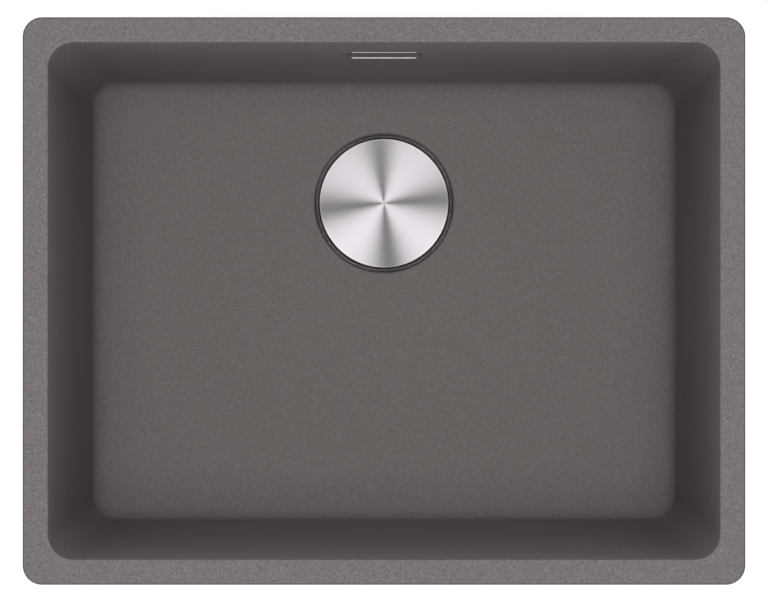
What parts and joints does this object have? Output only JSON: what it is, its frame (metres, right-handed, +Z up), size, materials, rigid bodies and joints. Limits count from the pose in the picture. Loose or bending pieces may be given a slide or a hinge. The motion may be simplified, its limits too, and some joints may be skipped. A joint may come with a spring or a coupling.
{
  "type": "kitchen sink",
  "caption": "Undermount kitchen sink cast in grey granite composite: deep rectangular bowl, basket strainer waste under a flush steel cover, overflow plate and hose at the back.",
  "frame": {"origin": "centre of the bowl's mouth, in the plane of the rim's top face", "axes": "+Z up out of the rim's top face, +X to the right along the long side, +Y to the back, where the overflow is"},
  "size_m": [0.559, 0.4443, 0.2828],
  "materials": {
    "granite_composite": "fine matt speckle",
    "stainless": "satin",
    "brushed_cover": "turned brushing",
    "polished_stainless": "polished",
    "brass": "as turned",
    "black_plastic": "moulded, fine grain",
    "grey_hose": "moulded, satin",
    "seal_rubber": "matt"
  },
  "bodies": {
    "sink": {"bowl": "granite_composite", "rim_inserts": "brass", "cup_seal": "seal_rubber", "strainer_cup": "polished_stainless", "body_seal": "seal_rubber", "waste_body": "black_plastic", "hub_insert": "brass", "clamp_screw": "stainless", "overflow_plate": "stainless", "overflow_seal": "seal_rubber", "overflow_housing": "black_plastic", "overflow_inserts": "brass", "overflow_screws": "stainless", "overflow_hose": "grey_hose", "hose_clip": "stainless", "hose_nut": "black_plastic", "hose_washer": "seal_rubber"},
    "basket": {"strainer_basket": "stainless", "plug_seal": "seal_rubber", "basket_stem": "stainless", "stem_nut": "stainless"},
    "cover": {"drain_cover": "brushed_cover", "cover_spider": "black_plastic"}
  },
  "joints": [
    {"name": "strainer_lift", "type": "slide", "parent": "sink", "child": "basket", "axis": [0, 0, 1], "range_m": [0, 0.26]},
    {"name": "cover_lift", "type": "slide", "parent": "basket", "child": "cover", "axis": [0, 0, 1], "range_m": [0, 0.24]}
  ]
}
